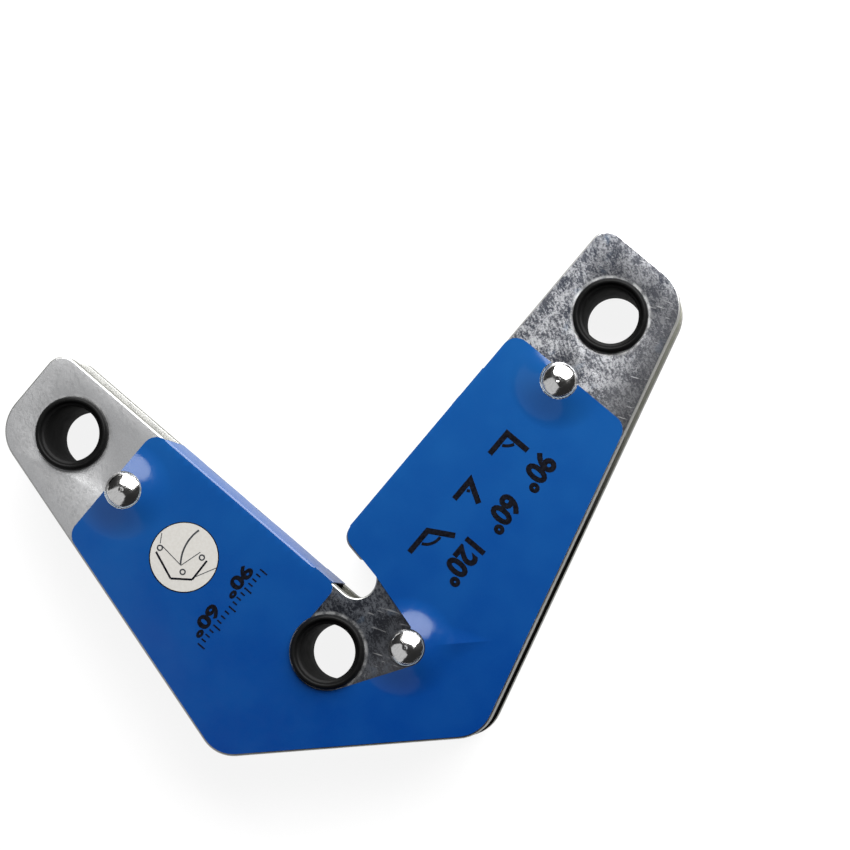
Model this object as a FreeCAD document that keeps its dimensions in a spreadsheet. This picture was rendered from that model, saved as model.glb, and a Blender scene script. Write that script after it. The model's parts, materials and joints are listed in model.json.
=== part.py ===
import FreeCAD, Part
import math
import os
import Sketcher

# Corner welding magnet: two V-shaped steel pole plates with ferrite blocks between them.
# Frame: lying on its back, +Z out of the labelled face, +Y into the mouth of the V,
# origin at the middle of the outline on the plane the back rests on. Millimetres.
#
# Inside this file the outline is drawn from the "apex", the point where the two inner
# edges would meet if the relief slot were not there.

os.makedirs("parts", exist_ok=True)
doc = FreeCAD.newDocument("corner_magnet")

# ---------------------------------------------------------------- driving dimensions
DIMENSIONS = [
    # outline, measured from the apex
    ("left_length", 56.5),       # inner edge of the short arm
    ("right_length", 74.0),      # inner edge of the long arm
    ("left_width", 17.2),        # end of the short arm
    ("right_width", 18.2),       # end of the long arm
    ("base_drop", 29.7),         # apex down to the base edge
    ("apex_x", -6.54),           # apex in the part's frame
    ("apex_y", -10.69),
    # relief slot at the apex
    ("slot_reach", 6.41),        # apex to the start of the round end
    ("slot_radius", 3.2),
    ("slot_corner", 6.69),       # apex to the long arm's inner corner
    ("slot_wall", 8.53),         # length of the slot's straight wall on the long arm
    ("slot_lean", 36.0),         # lean of that wall from the centre line, degrees
    # corner roundings
    ("tip_inner_round", 3.0),
    ("tip_outer_round", 7.0),
    ("base_left_round", 6.0),
    ("base_right_round", 6.5),
    ("slot_corner_round", 2.6),
    ("rim_round", 0.35),
    # levels
    ("back_level", 0.9),         # underside of the back plate
    ("plate_thick", 3.2),
    ("gap", 9.5),                # ferrite thickness
    ("label_thick", 0.2),
    # bushings: distance along the arm from the apex, then across from the inner edge
    ("left_bush_along", 45.7),
    ("left_bush_across", 9.35),
    ("right_bush_along", 63.0),
    ("right_bush_across", 10.45),
    ("lower_bush_x", 1.0),
    ("lower_bush_y", -13.85),
    ("bush_bore", 4.6),
    ("bush_tube", 5.4),
    ("bush_flange", 6.2),
    ("bush_flange_high", 1.4),
    ("bush_lip_round", 0.6),
    ("bush_hole", 5.7),
    ("bush_stake", 6.1),
    ("bush_stake_lean", 0.5),    # chamfer round the staked back rim
    ("bush_step", 0.7),          # sunk ledge inside the flange: width, depth, then its slope
    ("bush_step_deep", 0.4),
    ("bush_step_fall", 0.7),
    # rivets
    ("left_rivet_along", 33.0),
    ("left_rivet_across", 10.95),
    ("right_rivet_along", 49.5),
    ("right_rivet_across", 10.8),
    ("lower_rivet_x", 14.0),
    ("lower_rivet_y", -14.2),
    ("rivet_head", 2.95),
    ("rivet_head_high", 1.65),
    ("rivet_head_edge", 0.2),    # straight edge under the dome
    ("rivet_shank", 2.0),
    ("rivet_hole", 2.3),
    ("rivet_tail", 2.4),
    ("rivet_tail_bore", 1.5),
    ("rivet_tail_depth", 5.0),
    ("rivet_drill_point", 0.8),
    ("rivet_tail_high", 0.7),
    ("rivet_tail_roll", 0.4),
    ("spacer_outer", 3.4),
    # label
    ("label_inset", 0.35),
    ("label_left_end", 35.3),    # along the short arm
    ("label_right_end", 50.9),   # along the long arm
    ("label_slot_end", 4.7),     # past the apex, along the slot
    ("label_round", 2.6),
    ("label_rivet_cut", 3.15),
    ("label_bush_cut", 6.35),
    ("label_bush_side", 7.0),    # slot end to the cut edge by the lower bushing
    ("label_cut_lean", 10.0),    # cut edge under the lower bushing and rivet, degrees
    ("label_slot_round", 1.6),
    ("label_rivet_side_x", 1.1),  # cut edge beside the lower rivet, from its centre
    ("label_rivet_side_y", 3.3),
    ("label_wall_inset", 0.25),
    ("label_corner_inset", 0.315),
    ("flap_deep", 14.9),
    ("flap_left_start", -3.8),
    ("flap_left_stop", 32.8),
    ("flap_right_start", 9.0),
    ("flap_right_stop", 43.0),
    # black edge strips
    ("strip_set_back", 0.5),
    ("strip_wide", 3.0),
    ("strip_left_stop", 33.0),   # along the short arm
    ("strip_right_stop", 49.5),  # along the long arm
    ("strip_base_gap", 8.5),     # strip end to the left base corner
    ("strip_end_round", 1.48),   # just under half the width
    ("strip_left_end_round", 1.2),
    # ferrite blocks
    ("magnet_inset", 0.5),       # from the inner edge
    ("magnet_long", 12.8),
    ("magnet_gap", 0.3),
    ("left_magnet_start", 2.6),
    ("left_magnet_wide", 19.0),
    ("right_magnet_start", 13.0),
    ("right_magnet_long", 15.9),
    ("right_magnet_wide", 19.0),
    ("base_magnet_x", 3.5),
    ("base_magnet_long", 31.8),
    ("base_magnet_wide", 5.0),
    ("base_magnet_up", 3.9),     # base edge to the block
]

sheet = doc.addObject("Spreadsheet::Sheet", "Dims")
for row, (alias, value) in enumerate(DIMENSIONS, start=1):
    sheet.set("A%d" % row, alias)
    sheet.set("B%d" % row, str(value))
    sheet.setAlias("B%d" % row, alias)
doc.recompute()
dim = dict(DIMENSIONS)

# Expressions shared by many features
S = "sqrt(0.5)"
FRONT_LEVEL = "(Dims.back_level + Dims.plate_thick + Dims.gap)"
LABEL_LEVEL = "(%s + Dims.plate_thick)" % FRONT_LEVEL
GAP_LEVEL = "(Dims.back_level + Dims.plate_thick)"
TAPER = "tan(15 deg)"


def left_arm(along, across):
    """Point on the short arm: along its inner edge, then across the arm."""
    return ("-((%s) + (%s)) * %s" % (along, across, S), "((%s) - (%s)) * %s" % (along, across, S))


def right_arm(along, across):
    """Point on the long arm: along its inner edge, then across the arm."""
    return ("((%s) + (%s)) * %s" % (along, across, S), "((%s) - (%s)) * %s" % (along, across, S))


def left_across(along, inset="0"):
    """Distance from the short arm's inner edge to its outer edge, less an inset."""
    return "Dims.left_width + (Dims.left_length - (%s)) * %s - (%s) / cos(15 deg)" % (
        along, TAPER, inset)


def right_across(along, inset="0"):
    """Distance from the long arm's inner edge to its outer edge, less an inset."""
    return "Dims.right_width + (Dims.right_length - (%s)) * %s - (%s) / cos(15 deg)" % (
        along, TAPER, inset)


def down_left_edge(inset, y):
    """Point on the left outer edge (30 degrees from upright) at height y."""
    tip = left_arm("Dims.left_length", "Dims.left_width")
    x = "(%s) + (%s) / cos(30 deg) + ((%s) - (%s)) * tan(30 deg)" % (tip[0], inset, tip[1], y)
    return (x, y)


def down_right_edge(inset, y):
    """Point on the right outer edge (30 degrees from upright) at height y."""
    tip = right_arm("Dims.right_length", "Dims.right_width")
    x = "(%s) - (%s) / cos(30 deg) - ((%s) - (%s)) * tan(30 deg)" % (tip[0], inset, tip[1], y)
    return (x, y)


# Places of the holes, as expressions from the apex
BUSHINGS = {
    "left": left_arm("Dims.left_bush_along", "Dims.left_bush_across"),
    "right": right_arm("Dims.right_bush_along", "Dims.right_bush_across"),
    "lower": ("Dims.lower_bush_x", "Dims.lower_bush_y"),
}
RIVETS = {
    "left": left_arm("Dims.left_rivet_along", "Dims.left_rivet_across"),
    "right": right_arm("Dims.right_rivet_along", "Dims.right_rivet_across"),
    "lower": ("Dims.lower_rivet_x", "Dims.lower_rivet_y"),
}


# ---------------------------------------------------------------- helpers
def make_body(name, place, level):
    """A body whose own XY plane sits at (place, level) in the part's frame."""
    body = doc.addObject("PartDesign::Body", name)
    body.Label = name
    body.setExpression("Placement.Base.x", "Dims.apex_x + (%s)" % place[0])
    body.setExpression("Placement.Base.y", "Dims.apex_y + (%s)" % place[1])
    body.setExpression("Placement.Base.z", level)
    return body


def origin_plane(body, role):
    for item in body.Origin.OriginFeatures:
        if item.Role == role:
            return item
    raise ValueError(role)


def make_sketch(body, name, role="XY_Plane"):
    sketch = body.newObject("Sketcher::SketchObject", name)
    sketch.AttachmentSupport = (origin_plane(body, role), [""])
    sketch.MapMode = "FlatFace"
    return sketch


def value_of(expression):
    """Evaluate an expression on the sheet, to place a sketch's first guess."""
    return float(sheet.evalExpression(expression))


def bind(sketch, constraint, name, expression):
    index = sketch.addConstraint(constraint)
    sketch.renameConstraint(index, name)
    sketch.setExpression("Constraints." + name, expression)


def add_polygon(sketch, points):
    """Closed outline with straight sides; every corner is bound to the sheet."""
    start = [FreeCAD.Vector(value_of(x), value_of(y), 0) for x, y in points]
    count = len(points)
    for i in range(count):
        sketch.addGeometry(Part.LineSegment(start[i], start[(i + 1) % count]), False)
    for i in range(count):
        sketch.addConstraint(Sketcher.Constraint("Coincident", i, 2, (i + 1) % count, 1))
    for i, (x, y) in enumerate(points):
        across = Sketcher.Constraint("DistanceX", -1, 1, i, 1, start[i].x)
        up = Sketcher.Constraint("DistanceY", -1, 1, i, 1, start[i].y)
        bind(sketch, across, "corner%d_x" % i, x)
        bind(sketch, up, "corner%d_y" % i, y)


def add_circle(sketch, place, radius, tag):
    centre = FreeCAD.Vector(value_of(place[0]), value_of(place[1]), 0)
    circle = Part.Circle(centre, FreeCAD.Vector(0, 0, 1), value_of(radius))
    index = sketch.addGeometry(circle, False)
    bind(sketch, Sketcher.Constraint("Radius", index, circle.Radius), tag + "_radius", radius)
    if centre.Length < 1e-9:
        sketch.addConstraint(Sketcher.Constraint("Coincident", index, 3, -1, 1))
        return
    bind(sketch, Sketcher.Constraint("DistanceX", -1, 1, index, 3, centre.x), tag + "_x", place[0])
    bind(sketch, Sketcher.Constraint("DistanceY", -1, 1, index, 3, centre.y), tag + "_y", place[1])


def pad(body, sketch, name, length):
    feature = body.newObject("PartDesign::Pad", name)
    feature.Profile = sketch
    feature.setExpression("Length", length)
    sketch.Visibility = False
    doc.recompute()
    return feature


def cut_through(body, sketch, name):
    """Pocket upwards through everything that stands on the body's own XY plane."""
    base_volume = body.Tip.Shape.Volume
    feature = body.newObject("PartDesign::Pocket", name)
    feature.Profile = sketch
    feature.Type = "ThroughAll"
    feature.Reversed = True
    sketch.Visibility = False
    doc.recompute()
    if feature.Shape.Volume > base_volume - 1e-3:
        raise RuntimeError(name + " cuts nothing")
    return feature


def upright_edges(feature, place, reach=0.05):
    """Names of the feature's upright edges that stand over a point of the outline."""
    x, y = value_of(place[0]), value_of(place[1])
    found = []
    for number, edge in enumerate(feature.Shape.Edges, start=1):
        if len(edge.Vertexes) != 2:
            continue
        low, high = edge.Vertexes[0].Point, edge.Vertexes[1].Point
        flat = math.hypot(low.x - high.x, low.y - high.y)
        if flat < 1e-6 and math.hypot(low.x - x, low.y - y) < reach:
            found.append("Edge%d" % number)
    return found


def round_corners(body, feature, name, places, radius):
    edges = []
    for place in places:
        edges += upright_edges(feature, place)
    if len(edges) != len(places):
        raise ValueError("%s: %d edges for %d corners" % (name, len(edges), len(places)))
    rounding = body.newObject("PartDesign::Fillet", name)
    rounding.Base = (feature, edges)
    rounding.setExpression("Radius", radius)
    doc.recompute()
    return rounding


def outline_edges(feature, level):
    """Names of the edges around the flat face at a level of the body."""
    found = []
    for face in feature.Shape.Faces:
        box = face.BoundBox
        if abs(box.ZMin - level) > 1e-5 or abs(box.ZMax - level) > 1e-5:
            continue
        for number, edge in enumerate(feature.Shape.Edges, start=1):
            if any(edge.isSame(side) for side in face.OuterWire.Edges):
                found.append("Edge%d" % number)
    return found


# ---------------------------------------------------------------- pole plates
SLOT_START = ("Dims.slot_reach * %s" % S, "-Dims.slot_reach * %s" % S)
SLOT_CENTRE = ("(Dims.slot_reach + Dims.slot_radius) * %s" % S,
               "(Dims.slot_radius - Dims.slot_reach) * %s" % S)
LONG_CORNER = right_arm("Dims.slot_corner", "0")
SLOT_WALL_END = ("%s + Dims.slot_wall * sin(Dims.slot_lean * 1 deg)" % LONG_CORNER[0],
                 "%s - Dims.slot_wall * cos(Dims.slot_lean * 1 deg)" % LONG_CORNER[1])
LEFT_TIP_OUTER = left_arm("Dims.left_length", "Dims.left_width")
LEFT_TIP_INNER = left_arm("Dims.left_length", "0")
RIGHT_TIP_INNER = right_arm("Dims.right_length", "0")
RIGHT_TIP_OUTER = right_arm("Dims.right_length", "Dims.right_width")
BASE_RIGHT = down_right_edge("0", "-Dims.base_drop")
BASE_LEFT = down_left_edge("0", "-Dims.base_drop")

PLATE_OUTLINE = [LEFT_TIP_OUTER, LEFT_TIP_INNER, SLOT_START, SLOT_CENTRE, SLOT_WALL_END,
                 LONG_CORNER, RIGHT_TIP_INNER, RIGHT_TIP_OUTER, BASE_RIGHT, BASE_LEFT]


def make_plate(name, level, outer_side):
    """One pole plate; outer_side is 1 when its outer face is the top one."""
    body = make_body(name, ("0", "0"), level)
    outline = make_sketch(body, name + "_outline")
    add_polygon(outline, PLATE_OUTLINE)
    slab = pad(body, outline, name + "_slab", "Dims.plate_thick")
    tips = round_corners(body, slab, name + "_tips_inner", [LEFT_TIP_INNER, RIGHT_TIP_INNER],
                         "Dims.tip_inner_round")
    tips = round_corners(body, tips, name + "_tips_outer", [LEFT_TIP_OUTER, RIGHT_TIP_OUTER],
                         "Dims.tip_outer_round")
    base = round_corners(body, tips, name + "_base_left", [BASE_LEFT], "Dims.base_left_round")
    base = round_corners(body, base, name + "_base_right", [BASE_RIGHT], "Dims.base_right_round")
    base = round_corners(body, base, name + "_slot_corner", [LONG_CORNER],
                         "Dims.slot_corner_round")
    slot = make_sketch(body, name + "_slot_end")
    add_circle(slot, SLOT_CENTRE, "Dims.slot_radius", "slot")
    slotted = cut_through(body, slot, name + "_slot_cut")
    outer_level = dim["plate_thick"] if outer_side > 0 else 0.0
    rim = body.newObject("PartDesign::Fillet", name + "_rim")
    rim.Base = (slotted, outline_edges(slotted, outer_level))
    rim.setExpression("Radius", "Dims.rim_round")
    doc.recompute()
    for side in ("left", "right", "lower"):
        holes = make_sketch(body, "%s_%s_holes" % (name, side))
        add_circle(holes, BUSHINGS[side], "Dims.bush_hole", "bushing")
        add_circle(holes, RIVETS[side], "Dims.rivet_hole", "rivet")
        cut_through(body, holes, "%s_%s_cut" % (name, side))
    return body


bodies = [
    make_plate("back_plate", "Dims.back_level", -1),
    make_plate("front_plate", FRONT_LEVEL, 1),
]


# ---------------------------------------------------------------- turned pieces
def make_turned(name, place, level, profile):
    """A body turned about its own Z axis from an outline of (radius, height) expressions."""
    body = make_body(name, place, level)
    sketch = make_sketch(body, name + "_profile", "XZ_Plane")
    add_polygon(sketch, profile)
    turned = body.newObject("PartDesign::Revolution", name + "_turned")
    turned.Profile = sketch
    turned.ReferenceAxis = (sketch, ["V_Axis"])
    turned.Angle = 360.0
    sketch.Visibility = False
    doc.recompute()
    return body, turned


def circle_edges(feature, radius, level):
    """Names of the round edges of a turned feature at a radius and height."""
    found = []
    for number, edge in enumerate(feature.Shape.Edges, start=1):
        if edge.Degenerated or not isinstance(edge.Curve, Part.Circle):
            continue
        same_radius = abs(edge.Curve.Radius - radius) < 1e-4
        if same_radius and abs(edge.Curve.Center.z - level) < 1e-4:
            found.append("Edge%d" % number)
    return found


def make_bushing(side):
    name = side + "_bushing"
    top = "%s + Dims.bush_flange_high" % LABEL_LEVEL
    ledge = top + " - Dims.bush_step_deep"
    profile = [
        ("Dims.bush_bore", "0"),
        ("Dims.bush_stake - Dims.bush_stake_lean", "0"),
        ("Dims.bush_stake", "Dims.bush_stake_lean"),
        ("Dims.bush_stake", "Dims.back_level"),
        ("Dims.bush_tube", "Dims.back_level"),
        ("Dims.bush_tube", LABEL_LEVEL),
        ("Dims.bush_flange", LABEL_LEVEL),
        ("Dims.bush_flange", top),
        ("Dims.bush_bore + Dims.bush_step", top),
        ("Dims.bush_bore + Dims.bush_step", ledge),
        ("Dims.bush_bore", ledge + " - Dims.bush_step_fall"),
    ]
    body, turned = make_turned(name, BUSHINGS[side], "0", profile)
    lip = body.newObject("PartDesign::Fillet", name + "_lip")
    lip.Base = (turned, circle_edges(turned, dim["bush_flange"], value_of(top)))
    lip.setExpression("Radius", "Dims.bush_lip_round")
    doc.recompute()
    return body


def make_rivet(side):
    """Dome head in front, shank through both plates, hollow tail rolled over at the back."""
    name = side + "_rivet"
    body = make_body(name, RIVETS[side], "0")
    sketch = make_sketch(body, name + "_profile", "XZ_Plane")
    foot = "Dims.back_level - Dims.rivet_tail_high"
    points = [
        ("0", "%s + Dims.rivet_tail_depth" % foot),
        ("Dims.rivet_tail_bore", "%s + Dims.rivet_tail_depth - Dims.rivet_drill_point" % foot),
        ("Dims.rivet_tail_bore", foot),
        ("Dims.rivet_tail", foot),
        ("Dims.rivet_tail", "Dims.back_level"),
        ("Dims.rivet_shank", "Dims.back_level"),
        ("Dims.rivet_shank", LABEL_LEVEL),
        ("Dims.rivet_head", LABEL_LEVEL),
        ("Dims.rivet_head", "%s + Dims.rivet_head_edge" % LABEL_LEVEL),
        ("0", "%s + Dims.rivet_head_high" % LABEL_LEVEL),
    ]
    start = [FreeCAD.Vector(value_of(x), value_of(y), 0) for x, y in points]
    last = len(points) - 1
    for i in range(last - 1):
        sketch.addGeometry(Part.LineSegment(start[i], start[i + 1]), False)
    # the dome: an arc whose centre lies on the axis
    rise = start[last].y - start[last - 1].y
    half = start[last - 1].x
    dome_radius = (half * half + rise * rise) / (2.0 * rise)
    centre = FreeCAD.Vector(0, start[last].y - dome_radius, 0)
    begin = math.atan2(start[last - 1].y - centre.y, half)
    dome = Part.ArcOfCircle(Part.Circle(centre, FreeCAD.Vector(0, 0, 1), dome_radius),
                            begin, math.pi / 2)
    arc = sketch.addGeometry(dome, False)
    axis = sketch.addGeometry(Part.LineSegment(start[last], start[0]), False)
    for i in range(last - 2):
        sketch.addConstraint(Sketcher.Constraint("Coincident", i, 2, i + 1, 1))
    sketch.addConstraint(Sketcher.Constraint("Coincident", last - 2, 2, arc, 1))
    sketch.addConstraint(Sketcher.Constraint("Coincident", arc, 2, axis, 1))
    sketch.addConstraint(Sketcher.Constraint("Coincident", axis, 2, 0, 1))
    sketch.addConstraint(Sketcher.Constraint("PointOnObject", arc, 3, -2))
    sketch.addConstraint(Sketcher.Constraint("PointOnObject", arc, 2, -2))
    for i in range(last):
        line, end = (i, 1) if i < last - 1 else (arc, 1)
        up = Sketcher.Constraint("DistanceY", -1, 1, line, end, start[i].y)
        bind(sketch, up, "point%d_y" % i, points[i][1])
        if points[i][0] == "0":
            sketch.addConstraint(Sketcher.Constraint("PointOnObject", line, end, -2))
            continue
        across = Sketcher.Constraint("DistanceX", -1, 1, line, end, start[i].x)
        bind(sketch, across, "point%d_x" % i, points[i][0])
    bind(sketch, Sketcher.Constraint("DistanceY", -1, 1, axis, 1, start[last].y),
         "top_y", points[last][1])
    turned = body.newObject("PartDesign::Revolution", name + "_turned")
    turned.Profile = sketch
    turned.ReferenceAxis = (sketch, ["V_Axis"])
    turned.Angle = 360.0
    sketch.Visibility = False
    doc.recompute()
    roll = body.newObject("PartDesign::Fillet", name + "_roll")
    low = value_of(foot)
    edges = circle_edges(turned, dim["rivet_tail"], low)
    edges += circle_edges(turned, dim["rivet_tail_bore"], low)
    roll.Base = (turned, edges)
    roll.setExpression("Radius", "Dims.rivet_tail_roll")
    doc.recompute()
    return body


def make_spacer(side):
    name = side + "_spacer"
    body = make_body(name, RIVETS[side], GAP_LEVEL)
    sketch = make_sketch(body, name + "_ring")
    add_circle(sketch, ("0", "0"), "Dims.spacer_outer", "outer")
    add_circle(sketch, ("0", "0"), "Dims.rivet_hole", "inner")
    pad(body, sketch, name + "_tube", "Dims.gap")
    return body


for side in ("left", "right", "lower"):
    bodies.append(make_bushing(side))
for side in ("left", "right", "lower"):
    bodies.append(make_rivet(side))
for side in ("left", "right", "lower"):
    bodies.append(make_spacer(side))


# ---------------------------------------------------------------- ferrite blocks
def make_magnet(name, corners):
    body = make_body(name, ("0", "0"), GAP_LEVEL)
    sketch = make_sketch(body, name + "_outline")
    add_polygon(sketch, corners)
    pad(body, sketch, name + "_block", "Dims.gap")
    return body


def arm_block(arm, start, length, width):
    """Corners of a block on an arm, its long side along the inner edge."""
    stop = "(%s) + (%s)" % (start, length)
    far = "Dims.magnet_inset + (%s)" % width
    return [arm(start, "Dims.magnet_inset"), arm(stop, "Dims.magnet_inset"),
            arm(stop, far), arm(start, far)]


def second(start, length):
    return "(%s) + (%s) + Dims.magnet_gap" % (start, length)


bodies.append(make_magnet("left_lower_magnet", arm_block(
    left_arm, "Dims.left_magnet_start", "Dims.magnet_long", "Dims.left_magnet_wide")))
bodies.append(make_magnet("left_upper_magnet", arm_block(
    left_arm, second("Dims.left_magnet_start", "Dims.magnet_long"),
    "Dims.magnet_long", "Dims.left_magnet_wide")))
bodies.append(make_magnet("right_lower_magnet", arm_block(
    right_arm, "Dims.right_magnet_start", "Dims.right_magnet_long", "Dims.right_magnet_wide")))
bodies.append(make_magnet("right_upper_magnet", arm_block(
    right_arm, second("Dims.right_magnet_start", "Dims.right_magnet_long"),
    "Dims.right_magnet_long", "Dims.right_magnet_wide")))

half_base = "Dims.base_magnet_long / 2"
base_low = "Dims.base_magnet_up - Dims.base_drop"
base_high = "%s + Dims.base_magnet_wide" % base_low
bodies.append(make_magnet("base_magnet", [
    ("Dims.base_magnet_x - " + half_base, base_low),
    ("Dims.base_magnet_x + " + half_base, base_low),
    ("Dims.base_magnet_x + " + half_base, base_high),
    ("Dims.base_magnet_x - " + half_base, base_high),
]))


# ---------------------------------------------------------------- black edge strips
def make_outer_strip():
    """Strip along the base and the long outer edge, with a round free end on the base."""
    name = "outer_edge_strip"
    body = make_body(name, ("0", "0"), GAP_LEVEL)
    near = "Dims.strip_set_back"
    far = "(Dims.strip_set_back + Dims.strip_wide)"
    low = "-Dims.base_drop + %s" % near
    high = "-Dims.base_drop + %s" % far
    free_x = "%s + Dims.strip_base_gap" % BASE_LEFT[0]
    stop = "Dims.strip_right_stop"
    corner_out = down_right_edge(near, low)
    corner_in = down_right_edge(far, high)
    points = [
        (free_x, low), corner_out,
        right_arm(stop, right_across(stop, near)), right_arm(stop, right_across(stop, far)),
        corner_in, (free_x, high),
    ]
    sketch = make_sketch(body, name + "_outline")
    add_polygon(sketch, points)
    run = pad(body, sketch, name + "_run", "Dims.gap")
    run = round_corners(body, run, name + "_bend_out", [corner_out],
                        "Dims.base_right_round - Dims.strip_set_back")
    run = round_corners(body, run, name + "_bend_in", [corner_in],
                        "Dims.base_right_round - Dims.strip_set_back - Dims.strip_wide")
    round_corners(body, run, name + "_free_end", [points[0], points[5]],
                  "Dims.strip_end_round")
    return body


def make_left_strip():
    """Strip along the short outer edge, above the open left base corner."""
    name = "left_edge_strip"
    body = make_body(name, ("0", "0"), GAP_LEVEL)
    near = "Dims.strip_set_back"
    far = "(Dims.strip_set_back + Dims.strip_wide)"
    low = "-Dims.base_drop + Dims.strip_base_gap"
    stop = "Dims.strip_left_stop"
    points = [
        down_left_edge(near, low), down_left_edge(far, low),
        left_arm(stop, left_across(stop, far)), left_arm(stop, left_across(stop, near)),
    ]
    sketch = make_sketch(body, name + "_outline")
    add_polygon(sketch, points)
    run = pad(body, sketch, name + "_run", "Dims.gap")
    round_corners(body, run, name + "_free_end", [points[0], points[1]],
                  "Dims.strip_left_end_round")
    return body


bodies.append(make_outer_strip())
bodies.append(make_left_strip())


# ---------------------------------------------------------------- label
def make_label():
    """Vinyl label on the front plate, folded down over both inner edges."""
    name = "face_label"
    body = make_body(name, ("0", "0"), LABEL_LEVEL)
    inset = "Dims.label_inset"
    base_line = "-Dims.base_drop + %s" % inset
    left_end_in = left_arm("Dims.label_left_end", "0")
    left_end_out = left_arm("Dims.label_left_end",
                            left_across("Dims.label_left_end", inset))
    slot_end = left_arm("-Dims.label_slot_end", "0")
    bush = BUSHINGS["lower"]
    rivet = RIVETS["lower"]
    # cut edge from the lower bushing's underside to the lower rivet's underside
    lean = "Dims.label_cut_lean * 1 deg"
    in_bush = left_arm("-Dims.label_slot_end", "Dims.label_bush_side")
    under_bush = ("%s + Dims.label_bush_cut * sin(%s)" % (bush[0], lean),
                  "%s - Dims.label_bush_cut * cos(%s)" % (bush[1], lean))
    under_rivet = ("%s + Dims.label_rivet_cut * sin(%s)" % (rivet[0], lean),
                   "%s - Dims.label_rivet_cut * cos(%s)" % (rivet[1], lean))
    # cut edge from the lower rivet up the slot's wall on the long arm
    above_rivet = ("%s + Dims.label_rivet_side_x" % rivet[0],
                   "%s + Dims.label_rivet_side_y" % rivet[1])
    wall_end = ("%s + Dims.label_wall_inset" % SLOT_WALL_END[0], SLOT_WALL_END[1])
    corner_in = ("%s + Dims.label_corner_inset" % LONG_CORNER[0],
                 "%s + Dims.label_corner_inset" % LONG_CORNER[1])
    right_end_in = right_arm("Dims.label_right_end", "0")
    right_end_out = right_arm("Dims.label_right_end",
                              right_across("Dims.label_right_end", inset))
    base_right = down_right_edge(inset, base_line)
    base_left = down_left_edge(inset, base_line)
    points = [left_end_out, left_end_in, slot_end, in_bush, bush, under_bush, under_rivet, rivet,
              above_rivet, wall_end, corner_in, right_end_in, right_end_out,
              base_right, base_left]
    sketch = make_sketch(body, name + "_outline")
    add_polygon(sketch, points)
    face = pad(body, sketch, name + "_face", "Dims.label_thick")
    face = round_corners(body, face, name + "_ends",
                         [left_end_out, left_end_in, right_end_in, right_end_out],
                         "Dims.label_round")
    face = round_corners(body, face, name + "_slot_end", [slot_end],
                         "Dims.label_slot_round")
    face = round_corners(body, face, name + "_base_left", [base_left],
                         "Dims.base_left_round - Dims.label_inset")
    face = round_corners(body, face, name + "_base_right", [base_right],
                         "Dims.base_right_round - Dims.label_inset")
    face = round_corners(body, face, name + "_corner", [corner_in],
                         "Dims.slot_corner_round")
    cuts = make_sketch(body, name + "_cuts")
    add_circle(cuts, bush, "Dims.label_bush_cut", "bushing")
    for side in ("left", "right", "lower"):
        add_circle(cuts, RIVETS[side], "Dims.label_rivet_cut", side)
    cut_through(body, cuts, name + "_holes")
    # the two flaps hang from the fold, just outside the plates' inner edges
    fold = "-Dims.label_thick"
    flaps = [
        ("left", left_arm, "Dims.flap_left_start", "Dims.flap_left_stop"),
        ("right", right_arm, "Dims.flap_right_start", "Dims.flap_right_stop"),
    ]
    for side, arm, start, stop in flaps:
        sketch = make_sketch(body, "%s_%s_flap_outline" % (name, side))
        add_polygon(sketch, [arm(start, "0"), arm(stop, "0"), arm(stop, fold), arm(start, fold)])
        sketch.setExpression("AttachmentOffset.Base.z", "-Dims.flap_deep")
        pad(body, sketch, "%s_%s_flap" % (name, side), "Dims.flap_deep + Dims.label_thick")
    return body


bodies.append(make_label())


# ---------------------------------------------------------------- checks and export
doc.recompute()
for item in doc.Objects:
    if "Invalid" in item.State or "Error" in item.State:
        raise RuntimeError("%s is %s" % (item.Name, item.State))
for body in bodies:
    shape = body.Shape
    if shape.isNull() or not shape.isValid() or len(shape.Solids) != 1:
        raise RuntimeError("%s: bad shape, %d solids" % (body.Label, len(shape.Solids)))
    shape.exportStep("parts/%s.step" % body.Label)
print("exported %d pieces" % len(bodies))
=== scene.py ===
import json
import math

import bmesh
import bpy
from mathutils import Matrix, Vector, noise


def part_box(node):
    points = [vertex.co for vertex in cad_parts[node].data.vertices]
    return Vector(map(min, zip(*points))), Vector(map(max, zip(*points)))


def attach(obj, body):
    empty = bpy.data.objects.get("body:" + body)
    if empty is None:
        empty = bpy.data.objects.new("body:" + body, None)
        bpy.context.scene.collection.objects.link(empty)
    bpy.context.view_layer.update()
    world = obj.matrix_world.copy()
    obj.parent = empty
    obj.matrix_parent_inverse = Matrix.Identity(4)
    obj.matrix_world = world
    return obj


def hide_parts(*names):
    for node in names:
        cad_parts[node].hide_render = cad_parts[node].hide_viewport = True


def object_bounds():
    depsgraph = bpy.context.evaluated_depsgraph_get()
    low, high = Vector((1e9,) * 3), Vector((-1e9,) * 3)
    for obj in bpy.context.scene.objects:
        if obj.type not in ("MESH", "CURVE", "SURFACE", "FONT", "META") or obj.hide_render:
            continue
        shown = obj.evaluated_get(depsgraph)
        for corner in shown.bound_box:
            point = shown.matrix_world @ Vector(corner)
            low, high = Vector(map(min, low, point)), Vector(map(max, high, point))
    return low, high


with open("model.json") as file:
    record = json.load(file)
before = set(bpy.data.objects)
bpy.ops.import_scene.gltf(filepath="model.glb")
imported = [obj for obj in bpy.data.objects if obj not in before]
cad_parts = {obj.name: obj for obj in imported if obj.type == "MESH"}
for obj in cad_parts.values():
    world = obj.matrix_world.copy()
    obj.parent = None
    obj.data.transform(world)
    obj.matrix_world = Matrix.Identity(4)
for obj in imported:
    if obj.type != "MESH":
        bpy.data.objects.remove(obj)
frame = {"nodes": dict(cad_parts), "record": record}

# Corner welding magnet, lying on its back: +Z out of the labelled face, +Y into the mouth of the V.
# Points and levels taken from the frame are in metres. Radii and all sizes named here are in
# millimetres, which MM turns into metres.
cad_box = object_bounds()
MM = 0.001
DIAGONAL = math.sqrt(0.5)   # the V's two inner edges run at 45 degrees to X and Y

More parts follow.
